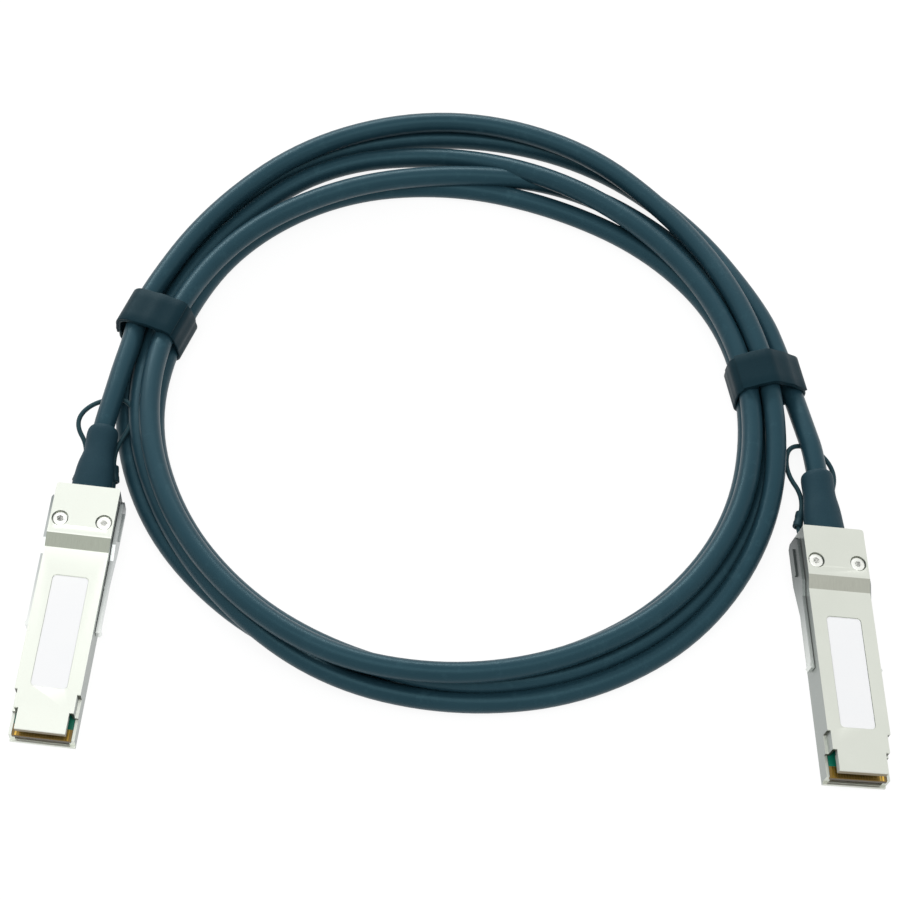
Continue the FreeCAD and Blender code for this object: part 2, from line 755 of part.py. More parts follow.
def boot(side):
    """Shrunk sleeve: oval against the plug, round where it grips the cable."""
    length = side + "BootLength"
    stations = (("0.05", "bootWidth", "bootHeight"),
                ("%s * 0.22" % length, "bootWidth * 0.95", "bootHeight * 0.98"),
                ("%s * 0.62" % length, "bootWaistWidth", "bootWaistHeight"),
                ("%s * 0.93" % length, "bootEndDiameter + 0.06", "bootEndDiameter"),
                (length, "bootEndDiameter - 0.74", "bootEndDiameter - 0.8"))
    rings = []
    for index, (y, width, height) in enumerate(stations):
        ring = doc.addObject("Part::Ellipse", side + "BootRing%d" % index)
        tie(ring, "MajorRadius", "(%s) / 2" % width)
        tie(ring, "MinorRadius", "(%s) / 2" % height)
        ring.Placement = Placement(Vector(0, 0, 0), Rotation(Vector(1, 0, 0), 90))
        tie(ring, "Placement.Base.y", y)
        tie(ring, "Placement.Base.z", "cableHeight")
        rings.append(ring)
    skin = doc.addObject("Part::Loft", side + "BootSkin")
    skin.Sections = rings
    skin.Solid = True
    skin.Ruled = False
    wide = rod(side + "BootCounterbore", "ferruleDiameter + 2 * fitClearance",
               ("-1", "ferruleTail + boreClearance"))
    bore = rod(side + "BootBore", "cableDiameter + 2 * fitClearance", ("-1", length + " + 1"))
    bent = feature(side + "BootBend", leadShape(side, plugPlacement(side)))
    bent.Placement = plugPlacement(side).inverse()
    return cut(side + "Boot", skin, fuse(side + "BootHollow", [wide, bore, bent]))


loopRoutes = {
    # round each loop in the plug's frame, from one tail of the slider to the other
    "left": [(-5.6, 4.6, 0.95), (-4.6, 14.5, 1.5), (-9.0, 23.6, 2.6), (-5.2, 30.6, 2.5),
             (5.0, 33.3, 2.5), (7.5, 25.8, 2.6), (4.6, 14.8, 1.5), (5.6, 4.6, 0.95)],
    "right": [(-5.6, 0.2, 0.95), (-7.3, 3.6, 1.0), (-4.1, 15.0, 1.1), (-8.0, 22.0, 1.2),
              (-4.2, 31.2, 1.1), (2.6, 31.2, 1.0), (6.8, 23.4, 1.2), (4.5, 14.4, 1.1),
              (5.6, 4.6, 0.95)],
}
sleeveCorner = {"left": 1, "right": 2}


def loopPoints(side):
    """The loop's corners: it starts and ends on the slider's tails, in line with them."""
    across = size("tailAcross")
    end = -size("sliderRear")
    level = size("bridgeBottom") + size("bridgeThickness") / 2
    return [(-across, end, level)] + loopRoutes[side] + [(across, end, level)]


def pullLoop(side):
    return feature(side + "Loop", tube(side + " pull loop", loopPoints(side), size("loopWire")))


def loopSleeves(side, wire):
    """Short sleeves that crimp the loop's two sides, where they pass the boot."""
    shapes = []
    points = [Vector(*point) for point in loopPoints(side)]
    first = sleeveCorner[side]
    for start, end in ((points[first], points[first + 1]), (points[-2], points[-3])):
        direction = (end - start).normalize()
        base = start + direction * (size("sleeveStart") - size("sleeveLength") / 2)
        outer = Part.makeCylinder(size("sleeveDiameter") / 2, size("sleeveLength"), base, direction)
        shapes.append(outer.cut(wire))
    return feature(side + "Sleeves", Part.makeCompound(shapes))


def plug(side):
    place = plugPlacement(side)
    node(side + "_lower_shell", lowerShell(side), place)
    node(side + "_upper_shell", upperShell(side), place)
    node(side + "_cover_screws", coverScrews(side), place)
    node(side + "_latch_slider", latchSlider(side), place)
    node(side + "_return_springs", returnSprings(side), place)
    loop = pullLoop(side)
    node(side + "_loop_sleeves", loopSleeves(side, loop.Shape.copy()), place)
    node(side + "_pull_loop", loop, place)
    card = box(side + "Card", ("-cardWidth / 2", "cardWidth / 2"), ("-cardEnd", "-cardStart"),
               ("partingHeight - cardThickness", "partingHeight"))
    node(side + "_circuit_board", card, place)
    tieBox(card, place)
    node(side + "_contact_pads", contactPads(side), place)
    node(side + "_board_chips", boardChips(side), place)
    wires = wireShapes()
    node(side + "_wire_pairs", feature(side + "Wires", Part.makeCompound(wires)), place)
    node(side + "_potting_block", pottingBlock(side, wires), place)
    node(side + "_cable_ferrule", cableFerrule(side), place)
    node(side + "_boot", boot(side), place)
    node(side + "_blank_label", blankLabel(side), place)
    return place


def tieBox(item, place):
    """A bare box has its own corner in its placement, so it is moved through a compound."""
    holder = compound(item.Name + "Holder", [item])
    nodes.remove(item)
    label = item.Label
    item.Label = item.Name
    item.Placement = Placement()
    for axis, low in (("x", "-cardWidth / 2"), ("y", "-cardEnd"),
                      ("z", "partingHeight - cardThickness")):
        tie(item, "Placement.Base." + axis, low)
    node(label, holder, place)


def blankLabel(side):
    body = doc.addObject("PartDesign::Body", side + "BlankLabel")
    sketch = newSketch(body, side + "StickerOutline", "XY_Plane", "bodyHeight - labelDepth")
    rectangle(sketch, ("-labelWidth / 2 + labelClearance", "labelWidth / 2 - labelClearance"),
              ("-labelEnd + labelClearance", "-labelStart - labelClearance"))
    sticker = pad(body, side + "Sticker", sketch, "labelThickness")
    body.Tip = roundEdges(body, side + "StickerCorners", sticker,
                          "labelCorner - labelClearance", isUpright)
    return body


# ------------------------------------------------------------------ the cable coil


def shifted(x, y, z):
    return (x - size("originX"), y - size("originY"), z)


def ovalWire(major, minor, turn, x, y, z):
    """Four tangent arcs that follow an ellipse with these half axes."""
    endRadius = (minor - (math.sqrt(2) - 1) * major) / (2 - math.sqrt(2))
    sideRadius = major + minor - endRadius
    reach = endRadius * math.sqrt(0.5)
    joint = (major - endRadius + reach, reach)
    corners = [(joint[0], -joint[1]), (major, 0), joint, (0, minor), (-joint[0], joint[1]),
               (-major, 0), (-joint[0], -joint[1]), (0, -minor)]
    place = Placement(Vector(*shifted(x, y, z)), Rotation(zAxis, turn))
    points = [place.multVec(Vector(across, up, 0)) for across, up in corners]
    edges = []
    for index in range(0, 8, 2):
        arc = Part.Arc(points[index], points[index + 1], points[(index + 2) % 8])
        edges.append(arc.toShape())
    return Part.Wire(edges)


def ring(outer, inner, low, high):
    """An oval band; each outline is (half major axis, half minor axis, turn, x, y)."""
    lift = Vector(0, 0, high - low)
    blocks = [Part.Face(ovalWire(*outline, low)).extrude(lift) for outline in (outer, inner)]
    return blocks[0].cut(blocks[1])


def roundRing(band, inner, wanted, radius):
    """Fillet the rims at the wanted heights, each given as (height, whether it is outer)."""
    centre = Vector(*shifted(inner[3], inner[4], 0))
    picked = []
    for edge in band.Edges:
        flat = edge.BoundBox.ZLength < 1e-4
        middle = edge.valueAt((edge.FirstParameter + edge.LastParameter) / 2)
        away = math.hypot(middle.x - centre.x, middle.y - centre.y)
        isOuter = away > inner[0] + 0.5
        for height, outer in wanted:
            if flat and abs(middle.z - height) < 1e-4 and isOuter == outer:
                picked.append(edge)
    return band.makeFillet(radius, picked)


strandRoute = [
    # the topmost outer strand, from the right tie over the far side to the left tie
    (98.7, 20.3), (93.9, 39.0), (82.2, 58.5), (66.9, 78.0), (47.5, 97.5), (21.5, 111.4),
    (-9.0, 114.9), (-38.0, 106.3), (-62.0, 89.2), (-80.0, 66.5), (-88.6, 48.6),
]
leftStrandEnd = (-91.4, 41.6)
leadRoutes = {
    # from the boot to the tie; each ends where the topmost strand starts
    "left": [(-96.2, 21.8, 14.7), (-93.81, 35.57, 10.4)],
    "right": [(100.9, 11.2, 9.9)],
}


def strandHeight():
    return size("strapThickness") + 1.5 * size("coilLayer") - size("strandSink")


def coil():
    """The coil's outer shape: a broad lower layer, one turn above its inner rim, and the
    topmost strand, which leaves the bundle at both ties."""
    bottom = size("strapThickness")
    shoulder = bottom + size("coilLayer")
    crest = shoulder + size("coilLayer")
    round = size("coilRound")
    inner = tuple(size("inner" + word) for word in ("Major", "Minor", "Turn", "X", "Y"))
    outer = tuple(size("outer" + word) for word in ("Major", "Minor", "Turn", "X", "Y"))
    upper = (inner[0] + size("upperWidth"), inner[1] + size("upperWidth")) + inner[2:]
    lower = ring(outer, inner, bottom, shoulder)
    lower = roundRing(lower, inner, [(bottom, True), (shoulder, True), (bottom, False)], round)
    raised = ring(upper, inner, shoulder - 1, crest)
    raised = roundRing(raised, inner, [(crest, True), (crest, False)], round)
    level = strandHeight()
    points = [shifted(x, y, level) for x, y in strandRoute + [leftStrandEnd]]
    strand = tube("coil's top strand", points, size("cableDiameter"))
    return feature("coilWhole", lower.fuse([raised, strand]).removeSplitter())


def leadShape(side, plugPlace):
    """From the ferrule's inner end, straight through the boot, to the coil's top strand."""
    height = size("cableHeight")
    start = plugPlace.multVec(Vector(0, -size("cableInset"), height))
    leave = plugPlace.multVec(Vector(0, size(side + "BootLength") + 1.5, height))
    last = leftStrandEnd if side == "left" else strandRoute[0]
    path = [(start.x, start.y, start.z), (leave.x, leave.y, leave.z)]
    path += [shifted(*point) for point in leadRoutes[side] + [last + (strandHeight(),)]]
    return tube(side + " lead", path, size("cableDiameter"))


def bundleFrame(angle, strandPoint):
    """Where a tie grips: its place on the strand, and how far in the bundle's rim lies.
    `angle` is the direction across the bundle, from the coil's middle outwards."""
    inner = tuple(size("inner" + word) for word in ("Major", "Minor", "Turn", "X", "Y"))
    rim = ovalWire(*inner, 0)
    outward = Vector(math.cos(math.radians(angle)), math.sin(math.radians(angle)), 0)
    strand = Vector(*shifted(strandPoint[0], strandPoint[1], 0))
    ray = Part.LineSegment(strand, strand - outward * inner[1]).toShape()
    nearest = ray.distToShape(rim)[1][0][0]
    inside = (nearest - strand).dot(outward)
    return strand, outward, inside - size("strapClearance"), size("cableDiameter") / 2


def strap(name, angle, strandPoint, slack):
    """A flat strap round the bundle, with its loose end lapped over the top and outer side."""
    place, outward, low, high = bundleFrame(angle, strandPoint)
    low -= slack
    high += size("strapClearance") + slack
    thickness = size("strapThickness")
    width = size("strapWidth")
    along = Vector(0, width, 0)
    top = thickness + 2 * size("coilLayer") + size("strapClearance")
    bend = size("strapRound") + thickness
    hollow = Part.Face(roundedFrame(low, high, thickness, top, size("strapRound")))
    outline = Part.Face(roundedFrame(low - thickness, high + thickness, 0.0, top + thickness, bend))
    filled = outline.extrude(along)
    band = filled.cut(hollow.extrude(along))
    tail = size("tailThickness")
    lap = Part.Face(roundedFrame(low + 3, high + thickness + tail, 4.5,
                                 top + thickness + tail, bend))
    lap = lap.extrude(Vector(0, width - 0.6, 0))
    lap.translate(Vector(0, 0.3, 0))
    whole = band.fuse(lap.cut(filled)).removeSplitter()
    whole.translate(Vector(0, -width / 2, 0))
    item = feature(name, whole)
    item.Placement = Placement(place, Rotation(zAxis, math.degrees(math.atan2(outward.y, outward.x))))
    return item


def roundedFrame(low, high, bottom, top, radius):
    """A closed rounded rectangle in the x-z plane."""
    corners = [(low, bottom), (high, bottom), (high, top), (low, top)]
    edges = []
    for index, (x, z) in enumerate(corners):
        before = corners[index - 1]
        after = corners[(index + 1) % 4]
        towards = Vector(before[0] - x, 0, before[1] - z).normalize()
        onward = Vector(after[0] - x, 0, after[1] - z).normalize()
        corner = Vector(x, 0, z)
        start = corner + towards * radius
        end = corner + onward * radius
        middle = corner + (towards + onward) * radius * (1 - math.sqrt(0.5))
        edges.append((start, middle, end))
    shapes = []
    for index, (start, middle, end) in enumerate(edges):
        shapes.append(Part.Arc(start, middle, end).toShape())
        following = edges[(index + 1) % 4][0]
        shapes.append(Part.LineSegment(end, following).toShape())
    return Part.Wire(shapes)


places = {side: plug(side) for side in ("left", "right")}
node("coil", coil())
for side in ("left", "right"):
    node(side + "_lead", feature(side + "Lead", leadShape(side, places[side])))
node("left_tie", strap("leftTie", 158.0, (-90.2, 44.9), 0.55))
node("right_tie", strap("rightTie", 12.5, (99.1, 18.0), 0.3))

doc.recompute()
failed = []
for item in doc.Objects:
    if "Invalid" in item.State or "Error" in item.State:
        failed.append("%s: %s" % (item.Name, item.State))
for item in nodes:
    shape = item.Shape
    if shape.isNull() or not shape.isValid():
        failed.append("%s has no valid shape" % item.Label)
if failed:
    raise RuntimeError("; ".join(failed))

for item in nodes:
    item.Shape.exportStep("parts/%s.step" % item.Label)
    box = item.Shape.BoundBox
    print("%-22s solids %2d  volume %9.2f  x %.2f..%.2f  y %.2f..%.2f  z %.2f..%.2f" % (
        item.Label, len(item.Shape.Solids), item.Shape.Volume, box.XMin, box.XMax,
        box.YMin, box.YMax, box.ZMin, box.ZMax))
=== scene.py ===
# A direct attach copper cable: two plugs with pull loops and a tied coil of cable between them.
import math
import bpy
import bmesh
from mathutils import Matrix, Vector


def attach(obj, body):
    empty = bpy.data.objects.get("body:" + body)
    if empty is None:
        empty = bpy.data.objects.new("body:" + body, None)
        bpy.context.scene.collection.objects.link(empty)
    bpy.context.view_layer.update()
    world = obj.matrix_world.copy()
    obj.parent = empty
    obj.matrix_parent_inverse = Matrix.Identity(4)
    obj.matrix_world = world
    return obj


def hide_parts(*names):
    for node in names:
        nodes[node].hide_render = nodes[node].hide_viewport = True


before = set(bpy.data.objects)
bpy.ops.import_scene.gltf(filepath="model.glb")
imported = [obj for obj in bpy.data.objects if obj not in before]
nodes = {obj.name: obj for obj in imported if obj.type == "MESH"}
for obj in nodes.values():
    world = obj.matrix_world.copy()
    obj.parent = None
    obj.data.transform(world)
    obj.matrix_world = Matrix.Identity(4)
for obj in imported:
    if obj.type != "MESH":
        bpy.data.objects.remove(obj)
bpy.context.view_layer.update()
scene = bpy.context.scene
mm = 0.001
sides = ("left", "right")
print("frame loaded,", len(nodes), "nodes")

view = {
    "eye": (0.4, -372.3, 680.5),  # mm
    "target": (0.4, 48.2, 0.0),
    "lens": 109.06,  # mm
    "sensor": 36.0,  # mm
    "clip": (0.05, 20.0),  # m
}


def makeCamera():
    data = bpy.data.cameras.new("camera")
    camera = bpy.data.objects.new("camera", data)
    scene.collection.objects.link(camera)
    eye = Vector(view["eye"]) * mm
    camera.location = eye
    camera.rotation_mode = "QUATERNION"
    camera.rotation_quaternion = (Vector(view["target"]) * mm - eye).to_track_quat("-Z", "Y")
    data.lens = view["lens"]
    data.sensor_width = view["sensor"]
    data.clip_start, data.clip_end = view["clip"]
    scene.camera = camera


makeCamera()
print("camera placed")

# where each plug lies: the middle of its rear face at the tray's underside, mm and degrees
plugSeat = {
    "left": {"base": (-102.66, 28.23, 4.341), "yaw": -6.75, "pitch": 3.12, "roll": 1.2},
    "right": {"base": (106.51, 15.19, 2.266), "yaw": 2.57, "pitch": 0.0, "roll": 14.3},
}


def plugMatrix(side):
    seat = plugSeat[side]
    turn = (Matrix.Rotation(math.radians(seat["yaw"]), 4, "Z")
            @ Matrix.Rotation(math.radians(seat["pitch"]), 4, "X")
            @ Matrix.Rotation(math.radians(seat["roll"]), 4, "Y"))
    return Matrix.Translation(seat["base"]) @ turn


def onPlug(side, point):
    return plugMatrix(side) @ Vector(point)


def plugHome(side):  # from mm on the plug to the frame's metres
    return Matrix.Scale(mm, 4) @ plugMatrix(side)


# a socket that can be used in sums, so that a mask reads as it is worked out
class Signal:
    def __init__(self, owner, socket):
        self.owner = owner
        self.socket = socket

    def maths(self, operation, first, second=0.0):
        return self.owner.node("ShaderNodeMath", {"operation": operation}, {0: first, 1: second})

    def __add__(self, other):
        return self.maths("ADD", self, other)

    def __radd__(self, other):
        return self.maths("ADD", other, self)

    def __sub__(self, other):
        return self.maths("SUBTRACT", self, other)

    def __rsub__(self, other):
        return self.maths("SUBTRACT", other, self)

    def __mul__(self, other):
        return self.maths("MULTIPLY", self, other)

    def __rmul__(self, other):
        return self.maths("MULTIPLY", other, self)

    def __gt__(self, other):
        return self.maths("GREATER_THAN", self, other)

    def __lt__(self, other):
        return self.maths("LESS_THAN", self, other)

    def __abs__(self):
        return self.maths("ABSOLUTE", self)


# a node tree with one way to add a node
class Tree:
    def __init__(self, tree):
        self.tree = tree

    def node(self, kind, settings=None, values=None, output=0):
        item = self.tree.nodes.new(kind)
        for name, value in (settings or {}).items():
            if name == "stops":
                ramp = item.color_ramp
                while len(ramp.elements) < len(value):
                    ramp.elements.new(1.0)
                for stop, (place, tint) in zip(ramp.elements, value):
                    stop.position, stop.color = place, tint + (1,)
            else:
                setattr(item, name, value)
        for name, value in (values or {}).items():
            self.join(item.inputs[name], value)
        return Signal(self, item.outputs[output]) if item.outputs else None

    def join(self, socket, value):
        if isinstance(value, Signal):
            self.tree.links.new(value.socket, socket)
        else:
            socket.default_value = value


# one finish: a Principled shader with its own constants, and whatever nodes are asked for
class Finish(Tree):
    def __init__(self, name, constants):
        self.material = bpy.data.materials.new(name)
        self.material.use_nodes = True
        super().__init__(self.material.node_tree)
        self.tree.nodes.clear()
        out = self.tree.nodes.new("ShaderNodeOutputMaterial")
        self.shader = self.tree.nodes.new("ShaderNodeBsdfPrincipled")
        self.tree.links.new(self.shader.outputs[0], out.inputs["Surface"])
        for socket, value in constants.items():
            self.shader.inputs[socket].default_value = value

    def feed(self, name, value):
        self.join(self.shader.inputs[name], value)

    def place(self, side=None):
        here = self.node("ShaderNodeTexCoord", output="Object")
        if side is None:
            return here
        seat = plugMatrix(side)
        return self.node("ShaderNodeMapping", {"vector_type": "TEXTURE"},
                         {"Vector": here, "Location": seat.to_translation() * mm,
                          "Rotation": seat.to_euler("XYZ")})

    def axes(self, place):
        return [self.node("ShaderNodeSeparateXYZ", {}, {0: place}, axis) for axis in range(3)]

    def facing(self, side, axis, low=0.6, high=0.85):  # 1 where a face looks along that axis
        aim = plugMatrix(side).to_3x3() @ Vector(axis)
        normal = self.node("ShaderNodeNewGeometry", output="True Normal")
        turned = self.node("ShaderNodeVectorMath", {"operation": "DOT_PRODUCT"},
                           {0: normal, 1: aim}, "Value")
        return self.spread(abs(turned), low, high)

    def stretch(self, place, by):
        return self.node("ShaderNodeVectorMath", {"operation": "MULTIPLY"}, {0: place, 1: by})

    def noise(self, place, scale, detail=2.0, rough=0.5):
        return self.node("ShaderNodeTexNoise", {},
                         {"Vector": place, "Scale": scale, "Detail": detail, "Roughness": rough})

    def blend(self, first, second, share):
        return self.node("ShaderNodeMix", {"data_type": "RGBA"},
                         {0: share, 6: first, 7: second}, 2)

    def mottle(self, colours, share):  # from the first colour to the second
        return self.blend(colour(*colours[0]), colour(*colours[1]), share)

    def spread(self, value, low, high):
        return self.node("ShaderNodeMapRange", {}, {0: value, 1: low, 2: high})

    def bump(self, height, strength, distance):
        self.feed("Normal", self.node("ShaderNodeBump", {}, {
            "Height": height, "Strength": strength, "Distance": distance}))


def colour(red, green, blue):  # 0 to 255 as it should look
    channels = []
    for value in (red, green, blue):
        part = value / 255
        channels.append(part / 12.92 if part <= 0.04045 else ((part + 0.055) / 1.055) ** 2.4)
    return tuple(channels) + (1.0,)


cable = {
    "diameter": 6.1,  # mm, as are the other measures here
    "axis": 4.7,  # height of the cable in a plug, from the tray's underside
    "inside": -5.0,  # how far in the cable starts
    "straight": 1.5,  # how far it stays straight past the boot
    "centre": (0.4, 56.2),  # the coil's middle
    "firstAngle": 157.5,  # degrees; the coil starts at the left tie and turns clockwise
    "steps": 16,  # route points to a turn
    "length": 2.685,  # m
    "colours": ((27, 54, 65), (37, 65, 76)),
    "scuffed": (56, 88, 98),
    "sheen": (160, 215, 228),
}
# distance from the middle and height, one row to a turn, 22.5 degrees apart
turns = [
    [(98.0, 9.4), (100.8, 9.2), (106.0, 9.2), (107.3, 9.2), (103.3, 9.2), (96.1, 9.0),
     (93.2, 11.0), (94.3, 9.5), (97.4, 6.6), (97.9, 3.3), (95.2, 3.05), (91.4, 3.05),
     (90.5, 5.6), (88.2, 8.5), (88.1, 7.6), (91.2, 7.7)],
    [(93.3, 4.3), (96.6, 3.05), (100.3, 4.0), (96.2, 4.2), (89.4, 9.4), (87.3, 9.2),
     (87.2, 9.2), (87.9, 9.2), (89.3, 9.2), (89.1, 8.9), (86.9, 9.4), (87.6, 13.0),
     (88.0, 13.6), (86.6, 13.6), (86.5, 12.8), (87.5, 12.4)],
    [(88.8, 9.4), (89.0, 9.2), (86.7, 9.2), (85.9, 8.4), (92.9, 3.05), (92.8, 3.05),
     (93.4, 5.0), (94.2, 4.3), (93.4, 3.05), (92.0, 3.05), (89.6, 3.2), (87.3, 7.5),
     (84.4, 8.8), (82.3, 3.6), (84.2, 3.05), (87.3, 3.05)],
    [(87.3, 4.2), (90.0, 3.05), (89.0, 3.05), (85.5, 3.05), (83.3, 3.05), (85.6, 3.05),
     (87.9, 4.2), (87.3, 4.2), (87.6, 3.05), (86.0, 3.05), (83.9, 3.05), (83.0, 3.05),
     (86.0, 3.05), (88.0, 3.05), (91.7, 3.05), (95.2, 3.05)],
    [(99.0, 4.1), (102.6, 3.05), (106.0, 3.05), (105.0, 3.05), (103.9, 3.05), (100.6, 3.05),
     (99.0, 4.1)],
]
leads = {
    "left": [(-100.1, 50.0, 10.5), (-98.0, 60.0, 10.6), (-95.9, 71.0, 10.3), (-93.6, 81.0, 9.9)],
    "right": [(99.0, 75.7, 4.2), (101.4, 64.7, 4.6), (103.8, 52.7, 6.0)],
}
bootLength = {"left": 18.6, "right": 23.2}


def leadPoints(side):
    ends = (cable["inside"], bootLength[side] + cable["straight"])
    return [tuple(onPlug(side, (0, y, cable["axis"]))) for y in ends]


def cordPoints():
    points = leadPoints("left") + leads["left"]
    step = 360.0 / cable["steps"]
    # a spline of order 3 runs inside its points: 3/4 of its own point and 1/8 of each neighbour
    swell = 1 / (0.75 + 0.25 * math.cos(math.radians(step)))
    angle = cable["firstAngle"]
    for turn in turns:
        for reach, height in turn:
            a = math.radians(angle)
            points.append((cable["centre"][0] + swell * reach * math.cos(a),
                           cable["centre"][1] + swell * reach * math.sin(a), height))
            angle -= step
    return points + leads["right"] + leadPoints("right")[::-1]


# the steps along from point to point, and those round a quarter of the line
smoothLine = {"order": 3, "along": 10, "round": 7}


def makeLine(name, points, diameter):  # a round cable or wire on a smooth line, mm
    data = bpy.data.curves.new(name, "CURVE")
    data.dimensions = "3D"
    data.resolution_u = smoothLine["along"]
    data.bevel_depth = diameter / 2 * mm
    data.bevel_resolution = smoothLine["round"]
    data.use_fill_caps = True
    spline = data.splines.new("NURBS")
    spline.points.add(len(points) - 1)
    for knot, point in zip(spline.points, points):
        knot.co = (point[0] * mm, point[1] * mm, point[2] * mm, 1.0)
    spline.order_u = smoothLine["order"]
    spline.use_endpoint_u = True
    spline.use_smooth = True
    line = bpy.data.objects.new(name, data)
    scene.collection.objects.link(line)
    return line


def jacketFinish():
    finish = Finish("cableJacket", {"Specular IOR Level": 0.36,
                                    "Specular Tint": colour(*cable["sheen"])})
    place = finish.place()
    cloud = finish.noise(place, 45.0, 3.0)
    grain = finish.noise(place, 1600.0, 2.0)
    scuff = finish.spread(finish.noise(place, 240.0, 4.0, 0.7), 0.56, 0.74)
    base = finish.mottle(cable["colours"], cloud)
    finish.feed("Base Color", finish.blend(base, colour(*cable["scuffed"]), scuff * 0.35))
    finish.feed("Roughness", 0.30 + 0.06 * cloud + 0.08 * grain)
    finish.bump(grain + 0.5 * cloud, 0.16, 0.0002)
    return finish.material


def makeCable():
    cord = makeLine("cable_jacket", cordPoints(), cable["diameter"])
    cord.data.materials.append(jacketFinish())
    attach(cord, "cable")
    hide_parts("coil", "left_lead", "right_lead")


def readLine(points):  # points along the smooth line, mm
    bare = makeLine("bareLine", points, 0.0)
    bare.data.use_fill_caps = False
    mesh = bpy.data.meshes.new_from_object(bare)
    line = [vert.co / mm for vert in mesh.vertices]
    bpy.data.objects.remove(bare)
    return line


makeCable()
cableLine = readLine(cordPoints())
print("cable routed")


def addPiece(name, work, material, body, replaced=(), sharp=35.0):
    bmesh.ops.remove_doubles(work, verts=work.verts, dist=1e-7)
    bmesh.ops.recalc_face_normals(work, faces=work.faces)
    data = bpy.data.meshes.new(name)
    work.to_mesh(data)
    work.free()
    data.shade_smooth()
    data.set_sharp_from_angle(angle=math.radians(sharp))
    data.materials.append(material)
    piece = bpy.data.objects.new(name, data)
    scene.collection.objects.link(piece)
    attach(piece, body)
    if replaced:
        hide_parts(*replaced)
    return piece


def circle(work, matrix, radius, count):  # gives the edges of the new ring
    made = bmesh.ops.create_circle(work, cap_ends=False, segments=count, radius=radius,
                                   matrix=matrix)
    return list(dict.fromkeys(edge for vert in made["verts"] for edge in vert.link_edges))


def rings(work, stations, segments):  # hollow rings along y, joined one to the next
    chain = []
    for y, wide, high, across, up in stations:
        matrix = (Matrix.Translation((across, y, up)) @ Matrix.Diagonal((wide, 1.0, high, 1.0))
                  @ Matrix.Rotation(math.radians(90), 4, "X"))
        chain.append(circle(work, matrix, 1.0, segments))
    for first, second in zip(chain, chain[1:]):
        bmesh.ops.bridge_loops(work, edges=first + second)
    return chain


def addTo(work, part):
    spare = bpy.data.meshes.new("part")
    part.to_mesh(spare)
    part.free()
    work.from_mesh(spare)
    bpy.data.meshes.remove(spare)


straps = {
    "left": {"place": (-85.2, 87.2), "outward": 157.0, "width": 12.0, "lapFrom": 5.0},
    "right": {"place": (93.1, 68.2), "outward": 11.0, "width": 11.6, "lapFrom": 6.5},
    "thickness": 0.75,
    "gap": 0.08,
    "lapGap": 0.04,
    "lapInset": 2.6,  # from the side of the bundle to the end of the lap
    "swell": 0.22,  # how far the strap stands off between two strands
    "roundEdge": 0.2,
    "lowest": 0.02,  # height above the ground
    "reach": 18,  # half the breadth in which strands are looked for
    "levels": (-0.5, -0.25, 0.0, 0.25, 0.5),  # where they are looked for, in strap widths
    "segments": 56,
    "longEdge": 0.9,  # from this length on an edge is cut, so that the strap can swell
    "cutsRound": 7,
    "cutsAcross": 3,
    "rim": 1.0,  # radians; sharper edges are rounded
    "creases": 50.0,  # degrees
    "colours": ((14, 37, 46), (24, 48, 57)),
    "pitted": (10, 30, 38),
    "sheen": (165, 215, 225),
}


def strapFinish():
    finish = Finish("strapRubber", {"Specular IOR Level": 0.14,
                                    "Specular Tint": colour(*straps["sheen"])})
    place = finish.place()
    cloud = finish.noise(place, 120.0, 3.0)
    grain = finish.noise(place, 2600.0, 2.0)
    base = finish.mottle(straps["colours"], cloud)
    finish.feed("Base Color", finish.blend(base, colour(*straps["pitted"]), grain * 0.5))
    finish.feed("Roughness", 0.38 + 0.12 * grain)
    finish.bump(grain + 0.8 * cloud, 0.22, 0.00015)
    return finish.material


def strandSpots(side):  # where the strands pass a strap, seen from the strap's place
    strap = straps[side]
    outward = math.radians(strap["outward"])
    turn = Matrix.Rotation(-outward, 4, "Z") @ Matrix.Translation(
        (-strap["place"][0], -strap["place"][1], 0))
    local = [turn @ point for point in cableLine]
    spots = []
    for level in straps["levels"]:
        cut = level * strap["width"]
        for first, second in zip(local, local[1:]):
            before, after = first.y - cut, second.y - cut
            if before * after <= 0 and before != after and abs(first.x) < straps["reach"]:
                spots.append(first.lerp(second, before / (before - after)))
    return spots


def strapSkin(side, extra):  # a thin band drawn tight round the strands
    strap = straps[side]
    spots = strandSpots(side)
    radius = cable["diameter"] / 2 + straps["gap"] + extra
    work = bmesh.new()
    for spot in spots:
        for end in (-0.5, 0.5):
            matrix = (Matrix.Translation((spot.x, end * strap["width"], spot.z))
                      @ Matrix.Rotation(math.radians(90), 4, "X"))
            circle(work, matrix, radius, straps["segments"])
    hull = bmesh.ops.convex_hull(work, input=work.verts, use_existing_faces=False)
    spare = [item for item in hull["geom_interior"] + hull["geom_unused"]
             if isinstance(item, bmesh.types.BMVert)]
    bmesh.ops.delete(work, geom=list(set(spare)), context="VERTS")
    bmesh.ops.delete(work, geom=[f for f in work.faces if abs(f.normal.y) > 0.9], context="FACES")
    bmesh.ops.dissolve_limit(work, angle_limit=math.radians(2), verts=work.verts, edges=work.edges)
    around = [e for e in work.edges if abs(e.verts[0].co.y - e.verts[1].co.y) < 0.01
              and e.calc_length() > straps["longEdge"]]
    bmesh.ops.subdivide_edges(work, edges=around, cuts=straps["cutsRound"], use_grid_fill=True)
    across = [e for e in work.edges if abs(e.verts[0].co.y - e.verts[1].co.y) > 1.0]
    bmesh.ops.subdivide_edges(work, edges=across, cuts=straps["cutsAcross"], use_grid_fill=True)
    middle = sum(spots, Vector()) / len(spots)
    for vert in work.verts:
        reach = min(math.hypot(vert.co.x - s.x, vert.co.z - s.z) for s in spots) - radius
        inward = Vector((middle.x - vert.co.x, 0, middle.z - vert.co.z)).normalized()
        if reach > 0.02 and vert.co.z > middle.z:
            vert.co -= inward * reach * straps["swell"]
    return work


